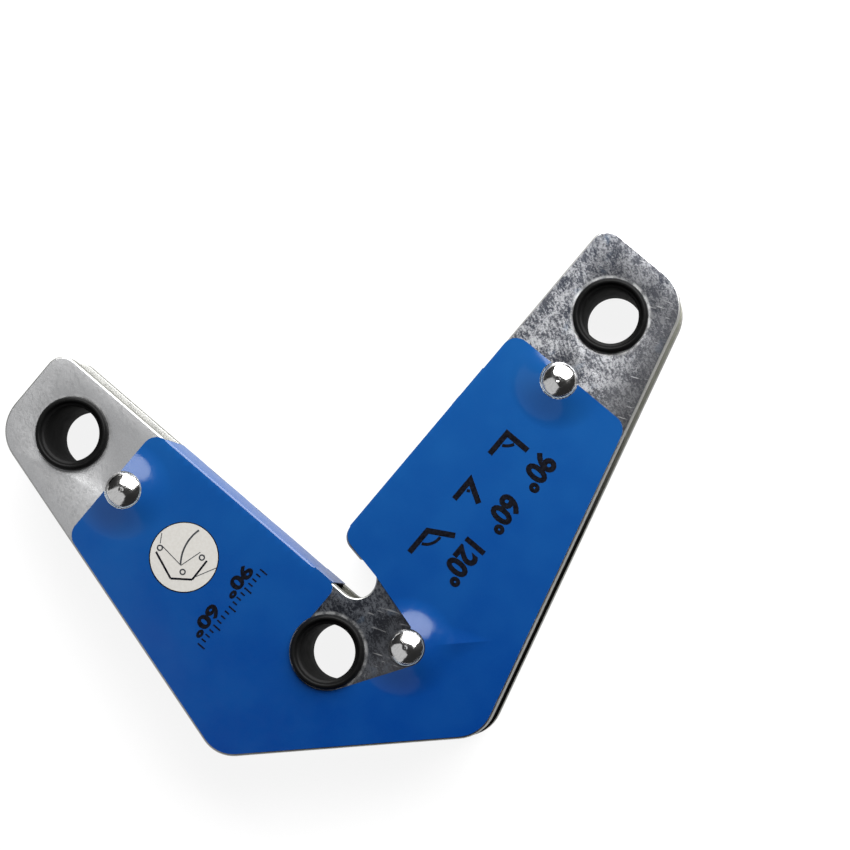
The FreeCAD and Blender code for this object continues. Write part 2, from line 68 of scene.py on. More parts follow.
# ---------------------------------------------------------------- places, from the frame
NODES = frame["nodes"]
MOUNTS = {mount["name"]: mount for mount in frame["record"]["mounts"]}
SIDES = ("left", "right", "lower")


def middle(node):
    """Middle of a CAD node's box."""
    low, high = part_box(node)
    return (low + high) / 2


BUSHINGS = [middle(side + "_bushing") for side in SIDES]
RIVETS = [middle(side + "_rivet") for side in SIDES]
LOWER_RIVET = middle("lower_rivet")
BACK_BOTTOM, BACK_TOP = (corner.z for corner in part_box("back_plate"))
PLATE_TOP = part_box("front_plate")[1].z
LABEL_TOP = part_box("face_label")[1].z
FLANGE_RADIUS = (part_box("left_bushing")[1].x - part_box("left_bushing")[0].x) / 2 / MM
BORE_RADIUS = MOUNTS["left_bore"]["dims"]["r_mm"]


def apex():
    """Where the lines of the label's two folded edges meet."""
    reach = {}
    for side in ("left", "right"):
        mount = MOUNTS[side + "_inner_edge"]
        reach[side] = Vector(mount["pos_m"]).dot(Vector(mount["axis"]))
    across = (reach["left"] - reach["right"]) * DIAGONAL
    up = (reach["left"] + reach["right"]) * DIAGONAL
    return Vector((across, up, LABEL_TOP))


APEX = apex()


def on_left(along, across):
    """Point on the label: millimetres along the short arm from the apex, then across it."""
    return APEX + Vector((-along - across, along - across, 0)) * DIAGONAL * MM


def on_right(along, across):
    """Point on the label: millimetres along the long arm from the apex, then across it."""
    return APEX + Vector((along + across, along - across, 0)) * DIAGONAL * MM


# ---------------------------------------------------------------- the label's relief
WAVES = ((16, 0.05, 0.0), (6, 0.012, 0.05))   # how long, how high, and where in the noise
MOUND_REACH = 8.4    # from a rivet's axis to where the pressed-up ground is flat again
MOUND_HIGH = 0.14    # how much of the mound is in the label's mesh
CREASE_LONG = 15.0   # pinched fold in the label beside the lower rivet
CREASE_WIDE = 6.5
CREASE_STARTS = (4, 9)
LABEL_GRID = 1.3     # between the label's cuts
PRINT_HIGH = 0.025   # ink over the label


def smooth(value):
    """Eased step from 0 to 1."""
    value = min(max(value, 0.0), 1.0)
    return value * value * (3 - 2 * value)


def rise(x, y):
    """How far the label's face stands off the flat: slow waves, and low mounds at the rivets."""
    lift = 0.0
    for long, high, shift in WAVES:
        lift += high * noise.noise(Vector((x, y, shift)) / (long * MM))
    for rivet in RIVETS:
        far = math.hypot(x - rivet.x, y - rivet.y)
        lift += MOUND_HIGH * smooth(1 - far / (MOUND_REACH * MM))
    return lift * MM


# ---------------------------------------------------------------- material helpers
# The Mix node lists its sockets for every kind of data, and these are the ones for colours.
MIX_SHARE = 0
MIX_COLOURS = (6, 7)
MIX_RESULT = 2
WALL_TILT = (0.25, 0.45)   # the normal's Z: a wall up to the first number, not one from the second
RIM_TILT = (0.90, 0.985)   # the same for everything that isn't a flat face, rolled edges included
MOST = (0.3, 0.7)          # where most values of a noise lie


class Finish:
    """A Principled material with short calls for the nodes that feed it."""

    def __init__(self, name):
        self.material = bpy.data.materials.new(name)
        self.material.use_nodes = True
        self.tree = self.material.node_tree
        self.shader = self.tree.nodes["Principled BSDF"]
        self.place = self.node("ShaderNodeTexCoord").outputs["Object"]

    def node(self, kind, **settings):
        """A new node with these settings."""
        made = self.tree.nodes.new(kind)
        for key, value in settings.items():
            setattr(made, key, value)
        return made

    def feed(self, socket, value):
        """Links a socket, or sets the plain value."""
        if isinstance(value, bpy.types.NodeSocket):
            self.tree.links.new(value, socket)
        else:
            socket.default_value = value

    def sums(self, operation, first, second=0.0):
        """One step of arithmetic."""
        made = self.node("ShaderNodeMath", operation=operation)
        self.feed(made.inputs[0], first)
        self.feed(made.inputs[1], second)
        return made.outputs[0]

    def plus(self, first, second):
        return self.sums("ADD", first, second)

    def minus(self, first, second):
        return self.sums("SUBTRACT", first, second)

    def times(self, first, second):
        return self.sums("MULTIPLY", first, second)

    def stretched(self, turn, scale):
        """Object coordinates turned about Z by degrees, then scaled."""
        made = self.node("ShaderNodeMapping", vector_type="TEXTURE")
        self.feed(made.inputs["Vector"], self.place)
        made.inputs["Rotation"].default_value = (0, 0, math.radians(turn))
        made.inputs["Scale"].default_value = scale
        return made.outputs[0]

    def grain(self, size, detail=2.0, roughness=0.5, distortion=0.0, place=None):
        """Noise whose lumps are about size millimetres across."""
        made = self.node("ShaderNodeTexNoise")
        self.feed(made.inputs["Vector"], place or self.place)
        made.inputs["Scale"].default_value = 1 / (size * MM)
        made.inputs["Detail"].default_value = detail
        made.inputs["Roughness"].default_value = roughness
        made.inputs["Distortion"].default_value = distortion
        return made.outputs["Fac"]

    def span(self, value, source, target=(0.0, 1.0), eased=True):
        """Takes a value from the source range to the target range, and holds it at both ends."""
        kind = "SMOOTHSTEP" if eased else "LINEAR"
        made = self.node("ShaderNodeMapRange", interpolation_type=kind)
        self.feed(made.inputs["Value"], value)
        for key, number in zip(("From Min", "From Max", "To Min", "To Max"), (*source, *target)):
            self.feed(made.inputs[key], number)
        return made.outputs["Result"]

    def reach(self, length, stretch, target=(0.0, 1.0), eased=True):
        """Span for a length: its source range, the stretch, is in millimetres."""
        start, stop = stretch
        return self.span(length, (start * MM, stop * MM), target, eased)

    def blend(self, share, first, second):
        """Colour from first, at share 0, to second, at share 1."""
        made = self.node("ShaderNodeMix", data_type="RGBA")
        self.feed(made.inputs[MIX_SHARE], share)
        for index, colour in zip(MIX_COLOURS, (first, second)):
            self.feed(made.inputs[index], (*colour, 1) if isinstance(colour, tuple) else colour)
        return made.outputs[MIX_RESULT]

    def axis(self, name, source=None):
        """One component of the place, or of another vector."""
        made = self.node("ShaderNodeSeparateXYZ")
        self.feed(made.inputs[0], source or self.place)
        return made.outputs[name]

    def tilted(self, tilt):
        """1 where the normal's Z is up to the tilt's first number, 0 from its second one on."""
        low, high = tilt
        normal = self.node("ShaderNodeTexCoord").outputs["Normal"]
        facing = self.sums("ABSOLUTE", self.axis("Z", normal))
        return self.span(facing, (high, low))

    def front(self):
        """1 from 1 mm under the front plate's face up, 0 from 2 mm under it down."""
        return self.span(self.axis("Z"), (PLATE_TOP - 2 * MM, PLATE_TOP - MM))

    def from_axis(self, centre):
        """Distance from the Z line through centre."""
        flat = self.node("ShaderNodeVectorMath", operation="MULTIPLY")
        self.feed(flat.inputs[0], self.place)
        flat.inputs[1].default_value = (1, 1, 0)
        made = self.node("ShaderNodeVectorMath", operation="DISTANCE")
        self.feed(made.inputs[0], flat.outputs[0])
        made.inputs[1].default_value = (centre.x, centre.y, 0)
        return made.outputs["Value"]

    def rings(self, centres, start, stop, fade):
        """1 between two radii around any of the centres, fading out past both."""
        total = 0.0
        for centre in centres:
            far = self.from_axis(centre)
            inside = self.reach(far, (stop + fade, stop))
            outside = self.reach(far, (start - fade, start))
            total = self.sums("MAXIMUM", self.times(inside, outside), total)
        return total

    def mounds(self, wide):
        """Height, 0 to 1, of the pressed-up ground around the rivets, on the front only."""
        total = 0.0
        for centre in RIVETS:
            total = self.plus(total, self.reach(self.from_axis(centre), (wide, 0)))
        return self.times(total, self.front())

    def crease(self):
        """Height, 0 to 1, of a fold that tapers away from the lower rivet along +X."""
        along = self.minus(self.axis("X"), LOWER_RIVET.x)
        across = self.sums("ABSOLUTE", self.minus(self.axis("Y"), LOWER_RIVET.y))
        spent = self.plus(self.sums("DIVIDE", along, CREASE_LONG * MM),
                          self.sums("DIVIDE", across, CREASE_WIDE * MM))
        return self.times(self.span(spent, (1.0, 0.0)), self.reach(along, CREASE_STARTS))

    def bump(self, height, depth, strength=1.0, base=None):
        """Normal for a height that is depth millimetres at 1, on top of another normal."""
        made = self.node("ShaderNodeBump")
        made.inputs["Distance"].default_value = depth * MM
        made.inputs["Strength"].default_value = strength
        self.feed(made.inputs["Height"], height)
        if base:
            self.feed(made.inputs["Normal"], base)
        return made.outputs[0]

    def set(self, **values):
        """Feeds the shader's sockets, named with _ for a space, and gives the material."""
        for key, value in values.items():
            self.feed(self.shader.inputs[key.replace("_", " ")], value)
        return self.material


# ---------------------------------------------------------------- zinc
# Stretches, along the axis named, over which the zinc changes.
SPANGLED_X = (-34, -12)     # crystals faint on the short arm, strong from here on: real spangle, its contrast partly painted reflection
CUT_OUT_Y = (2, -8)         # darker in the label's cut-out
INWARD_XY = (80, 60)        # X + Y: painted light, paler from the long arm's end towards the mouth
OUTWARD_XY = (18, 36)       # X - Y: shaded towards the long outer edge
GAP_SHADE_X = (6, 14)           # painted shade, near black, in the gap near the long outer edge
GAP_SHADE_Y = (12, -10)
FLANGE_HALO_WIDE = 0.15          # bright ring around each flange
ZINC_MOUND_REACH = 6.0      # ground pressed up around each rivet, where the plate is bare


def zinc_crystals(paint):
    """The spangle, 0 to 1: fine lumps, and streaks that lean."""
    lumps = paint.grain(0.30, detail=4.0, roughness=0.62, distortion=1.0)
    streaks = paint.grain(0.36, place=paint.stretched(20, (1, 2.6, 1)))
    return paint.plus(paint.times(lumps, 0.60), paint.times(streaks, 0.40))


def spangled_zinc(paint, crystals):
    """Dark and light crystals, bluish in places, darker in the cut-out, with painted light inwards and
    painted shade outwards.
    """
    in_cut_out = paint.times(paint.reach(paint.axis("Y"), CUT_OUT_Y), paint.front())
    clumps = paint.span(paint.grain(2.4), MOST, (-0.05, 0.05))
    level = paint.span(paint.plus(crystals, clumps), (0.42, 0.62))
    broad = paint.span(paint.grain(8.0), (0.4, 0.6))
    dark = paint.blend(broad, (0.034, 0.038, 0.050), (0.058, 0.061, 0.072))
    dark = paint.blend(in_cut_out, dark, (0.018, 0.020, 0.026))
    # Painted light: the light crystals get paler from the long arm's end towards the mouth.
    inward = paint.reach(paint.plus(paint.axis("X"), paint.axis("Y")), INWARD_XY)
    light = paint.blend(inward, (0.31, 0.315, 0.33), (0.44, 0.445, 0.46))
    light = paint.blend(in_cut_out, light, (0.16, 0.17, 0.19))
    bluish = paint.span(paint.grain(3.0), (0.60, 0.72), (0.0, 0.35))
    mottled = paint.blend(bluish, paint.blend(level, dark, light), (0.12, 0.17, 0.24))
    outward = paint.reach(paint.minus(paint.axis("X"), paint.axis("Y")), OUTWARD_XY, (0.0, 0.80))
    return paint.blend(paint.times(outward, paint.front()), mottled, (0.045, 0.045, 0.048))


def marked_zinc(paint, face):
    """The face with fine scratches in two directions, and patchy pale rings around the flanges."""
    leaning = paint.grain(0.32, detail=1.0, place=paint.stretched(-24, (9, 1, 1)))
    steep = paint.grain(0.30, detail=1.0, place=paint.stretched(65, (9, 1, 1)))
    scratches = paint.sums("MAXIMUM", paint.span(leaning, (0.70, 0.77)),
                           paint.span(steep, (0.73, 0.80)))
    face = paint.blend(paint.times(scratches, 0.28), face, (0.85, 0.85, 0.85))
    patchy = paint.span(paint.grain(1.7, detail=4.0, roughness=0.6), (0.40, 0.62), (0.15, 0.8))
    # Patchy pale ring around each flange.
    flange_halo = paint.rings(BUSHINGS, FLANGE_RADIUS, FLANGE_RADIUS + FLANGE_HALO_WIDE, fade=0.5)
    return paint.blend(paint.times(flange_halo, patchy), face, (0.78, 0.78, 0.78))


def zinc_in_gap(paint, face):
    """The face, with painted shade where it lies between the plates: olive grey, and near black on one
    side.
    """
    over_back = paint.span(paint.axis("Z"), (BACK_TOP - 0.4 * MM, BACK_TOP - 0.2 * MM))
    under_front = paint.span(paint.axis("Z"), (PLATE_TOP - 2 * MM, PLATE_TOP - 3 * MM))
    within = paint.times(over_back, under_front)
    long_arm = paint.reach(paint.axis("X"), SPANGLED_X)
    # Painted shade between the plates: olive grey on the long arm, paler on the short one.
    shaded_gap_tone = paint.blend(long_arm, (0.42, 0.42, 0.40), (0.16, 0.16, 0.135))
    # Painted shade, near black, in the gap towards the base by the long outer edge.
    gap_shade = paint.times(paint.reach(paint.axis("Y"), GAP_SHADE_Y), paint.reach(paint.axis("X"), GAP_SHADE_X))
    return paint.blend(within, face, paint.blend(gap_shade, shaded_gap_tone, (0.008, 0.008, 0.007)))


def zinc_plate():
    """Bright zinc on steel: spangled faces, duller rolled edges and drawn olive grey walls."""
    paint = Finish("zinc_plate")
    wall_share = paint.tilted(WALL_TILT)
    crystals = zinc_crystals(paint)
    # Partly painted reflection: the crystals' contrast, dark and light, rises from the short arm to the
    # long one.
    long_arm = paint.reach(paint.axis("X"), SPANGLED_X, (0.08, 1.0))
    strong = paint.times(long_arm, paint.minus(1.0, wall_share))
    strong = paint.times(strong, paint.span(paint.front(), (0.0, 1.0), (0.35, 1.0), eased=False))
    even = paint.blend(paint.span(crystals, (0.36, 0.64)), (0.50, 0.502, 0.505), (0.62, 0.622, 0.625))
    face = marked_zinc(paint, paint.blend(strong, even, spangled_zinc(paint, crystals)))
    face = paint.blend(paint.tilted(RIM_TILT), zinc_in_gap(paint, face), (0.40, 0.40, 0.385))
    drawn = paint.grain(0.22, place=paint.stretched(0, (1, 1, 9)))
    wall = paint.blend(paint.span(drawn, MOST), (0.07, 0.07, 0.058), (0.14, 0.14, 0.122))
    pressed = paint.bump(paint.mounds(ZINC_MOUND_REACH), depth=0.08)
    raised = paint.bump(paint.times(crystals, strong), depth=0.05, strength=0.6, base=pressed)
    lined = paint.bump(paint.times(drawn, wall_share), depth=0.012, strength=0.6, base=raised)
    metal = paint.span(wall_share, (0.0, 1.0), (1.0, 0.30), eased=False)
    rough = paint.span(crystals, (0.35, 0.65), (0.46, 0.34))
    tone = paint.blend(wall_share, face, wall)
    return paint.set(Base_Color=tone, Metallic=metal, Roughness=rough, IOR=1.15, Normal=lined)


# ---------------------------------------------------------------- the other materials
BLUE_LIT_Y = (-45, 30)    # over which the label's blue gets paler: painted light, brighter towards the top


def label_vinyl():
    """Glossy printed vinyl: blue ink with painted shade, deeper towards the base, and a pale cut edge.
    """
    paint = Finish("label_vinyl")
    # Painted light and shade: the blue is paler towards the top and deeper towards the base, with the
    # ink's uneven tone on top.
    lit_and_uneven = paint.reach(paint.axis("Y"), BLUE_LIT_Y, eased=False)
    lit_and_uneven = paint.plus(lit_and_uneven, paint.span(paint.grain(9.0), MOST, (-0.12, 0.12)))
    ink = paint.blend(lit_and_uneven, (0.0003, 0.0225, 0.128), (0.0048, 0.050, 0.172))
    speck = paint.grain(0.16)
    ink = paint.blend(paint.span(speck, MOST, (0.0, 0.10)), ink, (0.010, 0.070, 0.20))
    wall_share = paint.tilted(WALL_TILT)
    cut_edge = paint.times(wall_share, paint.span(paint.axis("Z"), (PLATE_TOP - 0.05 * MM, PLATE_TOP)))
    ink = paint.blend(cut_edge, ink, (0.30, 0.36, 0.42))
    rippled = paint.bump(paint.grain(4.2), depth=0.03, strength=0.35)
    pressed = paint.bump(paint.mounds(MOUND_REACH), depth=1.65, base=rippled)
    pinched = paint.bump(paint.crease(), depth=0.80, base=pressed)
    skin = paint.bump(speck, depth=0.002, strength=0.4, base=pinched)
    haze = paint.span(paint.grain(1.2, detail=3.0), MOST, (0.10, 0.16))
    rough = paint.plus(haze, paint.times(wall_share, 0.25))
    coat = paint.times(paint.minus(1.0, wall_share), 0.3)
    return paint.set(Base_Color=ink, Roughness=rough, IOR=1.36, Coat_Weight=coat,
                     Coat_Roughness=0.06, Normal=skin)


def print_ink(name, colour, paler):
    """Screen-printed ink, a little uneven in tone and sheen."""
    paint = Finish(name)
    tone = paint.blend(paint.span(paint.grain(0.5, detail=4.0), (0.35, 0.7)), colour, paler)
    rough = paint.span(paint.grain(0.6), MOST, (0.30, 0.42))
    uneven = paint.bump(paint.grain(0.3), depth=0.001, strength=0.3)
    return paint.set(Base_Color=tone, Roughness=rough, IOR=1.18, Normal=uneven)


def bushing_plastic():
    """Black moulding, smoother outside than in its bore, with fine turning marks and dust."""
    paint = Finish("bushing_plastic")
    cloud = paint.grain(1.4, detail=3.0)
    dust = paint.span(paint.grain(0.35, detail=4.0), (0.55, 0.8), (0.0, 0.35))
    tone = paint.blend(cloud, (0.003, 0.003, 0.003), (0.006, 0.006, 0.006))
    tone = paint.blend(dust, tone, (0.016, 0.0155, 0.015))
    in_bore = paint.rings(BUSHINGS, 0.0, BORE_RADIUS + 0.02, fade=0.1)
    rough = paint.plus(paint.span(cloud, MOST, (0.28, 0.38)), paint.times(in_bore, 0.5))
    turning = paint.grain(0.10, place=paint.stretched(0, (1, 1, 4)))
    turned = paint.bump(turning, depth=0.005, strength=0.35)
    return paint.set(Base_Color=tone, Roughness=rough, IOR=1.13, Normal=turned)


def rivet_chrome():
    """Polished dome with a pit on its axis, hammered hollows and faint buffing marks."""
    paint = Finish("rivet_chrome")
    buff = paint.grain(0.3, place=paint.stretched(35, (6, 1, 1)))
    tone = paint.blend(paint.span(buff, (0.45, 0.7)), (0.92, 0.91, 0.89), (0.84, 0.83, 0.81))
    rough = paint.span(buff, MOST, (0.11, 0.17))
    pit = paint.times(paint.rings(RIVETS, 0.0, 0.15, fade=0.35), 1.1)
    dented = paint.bump(paint.minus(paint.grain(1.3, detail=1.0), pit), depth=0.11, strength=0.6)
    buffed = paint.bump(buff, depth=0.004, strength=0.3, base=dented)
    return paint.set(Base_Color=tone, Metallic=1.0, Roughness=rough, Normal=buffed)


def spacer_steel():
    """Turned steel tube."""
    paint = Finish("spacer_steel")
    turned = paint.grain(0.12, detail=1.0, place=paint.stretched(0, (20, 20, 1)))
    tone = paint.blend(turned, (0.40, 0.40, 0.41), (0.62, 0.62, 0.63))
    rough = paint.span(turned, MOST, (0.3, 0.45))
    ridged = paint.bump(turned, depth=0.01, strength=0.5)
    return paint.set(Base_Color=tone, Metallic=1.0, Roughness=rough, Normal=ridged)


def ferrite():
    """Fired ferrite: dark grey and finely pitted."""
    paint = Finish("ferrite")
    grit = paint.grain(0.18, detail=4.0, roughness=0.7)
    tone = paint.blend(paint.grain(2.5, detail=3.0), (0.028, 0.028, 0.031), (0.055, 0.055, 0.06))
    rough = paint.span(grit, MOST, (0.62, 0.85))
    pitted = paint.bump(grit, depth=0.03, strength=0.6)
    return paint.set(Base_Color=tone, Roughness=rough, Normal=pitted)


def strip_rubber():
    """Black strip with fine extrusion lines and a little dust."""
    paint = Finish("strip_rubber")
    dust = paint.grain(1.6, detail=4.0)
    dusty = paint.span(dust, (0.55, 0.85), (0.0, 0.4))
    tone = paint.blend(dusty, (0.004, 0.004, 0.004), (0.03, 0.029, 0.028))
    rough = paint.span(dust, MOST, (0.62, 0.78))
    drawn = paint.grain(0.3, place=paint.stretched(0, (12, 12, 1)))
    lined = paint.bump(drawn, depth=0.02, strength=0.5)
    return paint.set(Base_Color=tone, Roughness=rough, IOR=1.10, Normal=lined)


# Each of these functions has the name of the slot that it fills.
SLOTS = (zinc_plate, label_vinyl, bushing_plastic, rivet_chrome, spacer_steel, ferrite, strip_rubber)
FINISHES = {make.__name__: make() for make in SLOTS}


def paint_cad_nodes():
    """Gives each CAD node the material of its slot in the record."""
    for part in frame["record"]["subparts"]:
        mesh = NODES[part["node"]].data
        mesh.materials.clear()
        mesh.materials.append(FINISHES[part["material_slot"]])


paint_cad_nodes()
INK_BLACK = print_ink("ink_black", (0.0012, 0.0012, 0.0025), (0.0035, 0.004, 0.007))
INK_GREY = print_ink("ink_grey", (0.022, 0.024, 0.027), (0.035, 0.038, 0.042))
INK_PALE = print_ink("ink_pale", (0.330, 0.320, 0.300), (0.350, 0.340, 0.322))

# ---------------------------------------------------------------- piece helpers
WELD = 1e-7          # metres between points that are one
CUT_WELD = 1e-6      # metres from a cut to a point that is already on it
FLAT_WITHIN = 0.3    # degrees between faces that are one


def opened(node):
    """Editable copy of a CAD node's mesh, welded, with its flat stretches as single faces."""
    mesh = bmesh.new()
    mesh.from_mesh(NODES[node].data)
    bmesh.ops.remove_doubles(mesh, verts=mesh.verts[:], dist=WELD)
    bmesh.ops.dissolve_limit(mesh, angle_limit=math.radians(FLAT_WITHIN), verts=mesh.verts[:],
                             edges=mesh.edges[:])
    return mesh


def closed(mesh, name, slot, crisp, replaced=None, material=None):
    """Makes the piece: smooth shading broken at edges sharper than crisp degrees."""
    data = bpy.data.meshes.new(name)
    bmesh.ops.triangulate(mesh, faces=[face for face in mesh.faces if len(face.verts) > 4])
    mesh.normal_update()
    mesh.to_mesh(data)
    mesh.free()
    if "custom_normal" in data.attributes:
        data.attributes.remove(data.attributes["custom_normal"])
    data.polygons.foreach_set("use_smooth", [True] * len(data.polygons))
    data.set_sharp_from_angle(angle=math.radians(crisp))
    data.materials.append(material or FINISHES[slot])
    piece = bpy.data.objects.new(name, data)
    bpy.context.collection.objects.link(piece)
    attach(piece, "root")
    if replaced:
        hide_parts(replaced)


def cut(mesh, point, normal):
    """Cuts the mesh's faces along a plane and keeps both sides."""
    geometry = mesh.verts[:] + mesh.edges[:] + mesh.faces[:]
    bmesh.ops.bisect_plane(mesh, geom=geometry, dist=CUT_WELD, plane_co=point, plane_no=normal)


def cut_grid(mesh, pitch):
    """Cuts the mesh on a square grid, so that it can follow the label's waves."""
    for axis in (0, 1):
        low = min(vert.co[axis] for vert in mesh.verts)
        high = max(vert.co[axis] for vert in mesh.verts)
        direction = Vector((1 - axis, axis, 0))
        for step in range(math.floor(low / pitch) + 1, math.ceil(high / pitch)):
            cut(mesh, direction * step * pitch, direction)


# ---------------------------------------------------------------- plates
PLATE_SHARP = 40     # degrees over which an edge of a plate is a punched one
PLATE_ROLL = 0.16
PLATE_ROLL_CUTS = 3


def soft_edged_plate(side):
    """The plate with its punched edges rolled over a little, so that they catch the light."""
    mesh = opened(side + "_plate")
    edges = [edge for edge in mesh.edges if edge.calc_face_angle() > math.radians(PLATE_SHARP)]
    bmesh.ops.bevel(mesh, geom=edges, offset=PLATE_ROLL * MM, offset_type="OFFSET",
                    segments=PLATE_ROLL_CUTS, profile=0.5, affect="EDGES", clamp_overlap=True)
    closed(mesh, side + "_plate_skin", "zinc_plate", crisp=50, replaced=side + "_plate")


# ---------------------------------------------------------------- label
FOLD_RADIUS = 0.42   # how tightly the label turns over the plates' inner edges
FOLD_CUTS = (0.08, 0.2, FOLD_RADIUS)
TOUCHING = 0.01      # how near a point is that lies on a face
FLAP_STANDS = 0.09   # how far a flap stands off, give or take its wave
FLAP_WAVE_LONG = 5   # about how far apart the wave's crests are
FLAP_WAVE_FULL = 3   # under the fold, where the flap's wave is full
FLAP_WAVE_LEAST = 0.3   # share of it that is there at the fold
FACE_DEEP = 0.19     # takes in the label's upper face, but not its underside


def fold(mesh, side):
    """Rounds the label where it turns down over one inner edge, and lets the flap wave."""
    mount = MOUNTS[side + "_inner_edge"]
    point, out = Vector(mount["pos_m"]), Vector(mount["axis"])
    for depth in FOLD_CUTS:
        cut(mesh, point - out * depth * MM, out)
        cut(mesh, Vector((0, 0, LABEL_TOP - depth * MM)), Vector((0, 0, 1)))
    mine = -1 if side == "left" else 1
    radius = FOLD_RADIUS * MM
    touching = TOUCHING * MM
    for vert in mesh.verts:
        inward = (point - vert.co).dot(out)
        down = LABEL_TOP - vert.co.z
        if (vert.co.x - APEX.x) * mine < 0 or inward > radius or inward < -touching:
            continue
        # The face sinks along the fold's circle, the flap is pulled in along it.
        if down < radius:
            back = math.sqrt(max(radius * radius - (radius - inward) ** 2, 0))
            low = math.sqrt(max(radius * radius - (radius - down) ** 2, 0))
            sunk = radius - back if down < touching else 0
            pulled = radius - low if inward < touching else 0
            if sunk and pulled:
                sunk = pulled = radius * (1 - DIAGONAL)
            vert.co += Vector((0, 0, -sunk)) - out * pulled
        if inward < touching:
            full = smooth(down / (FLAP_WAVE_FULL * MM) + FLAP_WAVE_LEAST)
            wave = noise.noise(vert.co / (FLAP_WAVE_LONG * MM)) * full
            vert.co -= out * FLAP_STANDS * MM * (1 + wave)


def laid_label():
    """The label with soft folds, waves and mounds."""
    mesh = opened("face_label")
    cut_grid(mesh, LABEL_GRID * MM)
    for side in ("left", "right"):
        fold(mesh, side)
    for vert in mesh.verts:
        if vert.co.z > LABEL_TOP - FACE_DEEP * MM:
            vert.co.z += rise(vert.co.x, vert.co.y)
    closed(mesh, "label_sheet", "label_vinyl", crisp=50, replaced="face_label")


# ---------------------------------------------------------------- drawing in ink
READING = Vector((-DIAGONAL, -DIAGONAL, 0))   # the way the rows run
UPWARD = Vector((DIAGONAL, -DIAGONAL, 0))     # the way the figures' tops point
FIGURE_WEIGHT = 0.045                         # how much the font's strokes are thickened
FIGURE_CUTS = 4                               # straight pieces in each of the font's curves
FIGURE_WELD = 1e-5                            # in the font's own units


def lay(shape, name, centre, ink, across=READING, up=UPWARD):
    """Lays flat shapes, drawn in millimetres about their middle, on the label as thin ink."""
    top = bmesh.ops.extrude_face_region(shape, geom=shape.faces[:])["geom"]
    # The top goes up by one unit, which the level below turns into the ink's height.
    for vert in top:
        if isinstance(vert, bmesh.types.BMVert):
            vert.co.z += 1
    bmesh.ops.recalc_face_normals(shape, faces=shape.faces[:])
    for vert in shape.verts:
        level = vert.co.z * PRINT_HIGH * MM
        vert.co = centre + across * vert.co.x * MM + up * vert.co.y * MM
        vert.co.z = level + centre.z - LABEL_TOP
    cut_grid(shape, LABEL_GRID * MM)
    for vert in shape.verts:
        vert.co.z += LABEL_TOP + rise(vert.co.x, vert.co.y)
    closed(shape, name, "label_vinyl", crisp=30, material=ink)


def outline(shape, points):
    """Flat face with these corners."""
    shape.faces.new([shape.verts.new((x, y, 0)) for x, y in points])


def arc(centre, radius, start, stop, count):
    """Points on a circle, from one angle in degrees to another."""
    turns = [math.radians(start + (stop - start) * step / count) for step in range(count + 1)]
    return [(centre[0] + radius * math.cos(turn), centre[1] + radius * math.sin(turn)) for turn in turns]


def band(shape, centre, radius, wide, start, stop, count=12):
    """Stretch of a ring."""
    inner = arc(centre, radius, stop, start, count)
    outline(shape, arc(centre, radius + wide, start, stop, count) + inner)


def ring(shape, centre, radius, wide, count=12):
    """Whole ring, in two halves."""
    for start in (0, 180):
        band(shape, centre, radius, wide, start, start + 180, count)


def bar(shape, start, stop, wide):
    """Straight stroke with square ends."""
    start, stop = Vector(start), Vector(stop)
    side = (stop - start).normalized().orthogonal() * wide / 2
    outline(shape, [start + side, start - side, stop - side, stop + side])


def stroke(shape, points, wide):
    """Bars from point to point."""
    for start, stop in zip(points, points[1:]):
        bar(shape, start, stop, wide)


def figures(name, text, centre, size, ink):
    """A row of figures, size (length, height) in millimetres."""
    curve = bpy.data.curves.new(name, "FONT")
    curve.body = text
    curve.offset = FIGURE_WEIGHT
    curve.resolution_u = FIGURE_CUTS
    holder = bpy.data.objects.new(name + "_curve", curve)
    mesh = bpy.data.meshes.new_from_object(holder)
    bpy.data.objects.remove(holder)
    low = [min(vert.co[axis] for vert in mesh.vertices) for axis in (0, 1)]
    high = [max(vert.co[axis] for vert in mesh.vertices) for axis in (0, 1)]
    shape = bmesh.new()
    shape.from_mesh(mesh)
    bmesh.ops.remove_doubles(shape, verts=shape.verts[:], dist=FIGURE_WELD)
    for vert in shape.verts:
        for axis in (0, 1):
            share = (vert.co[axis] - low[axis]) / (high[axis] - low[axis])
            vert.co[axis] = (share - 0.5) * size[axis]
    bpy.data.meshes.remove(mesh)
    lay(shape, name, centre, ink)


# ---------------------------------------------------------------- what is printed, in mm
SIGN_LEG = 4.9
SIGN_WIDE = 0.95
SIGN_ARC = 2.5        # the little arc between the legs: radius, width, and degrees off each leg
SIGN_ARC_WIDE = 0.5
SIGN_ARC_SHORT = 24
SIGNS = {90: 35.2, 60: 25.8, 120: 15.6}   # degrees: how far along the arm
SIGNS_ACROSS = 12.1
ANGLE_ROW = (25.5, 18.1)   # rows of figures and ticks: along and across the arm
ANGLE_ROW_SIZE = (26.5, 4.3)
SMALL_ROW = (8.1, 14.3)
SMALL_ROW_SIZE = (14.5, 2.5)
TICK_ROW = (5.9, 14.2)
TICKS = 17
TICK_PITCH = 1.0
TICK_LONG = 1.5
TICK_LONG_EVERY = 4
TICK_SHORT = 0.9
TICK_WIDE = 0.26


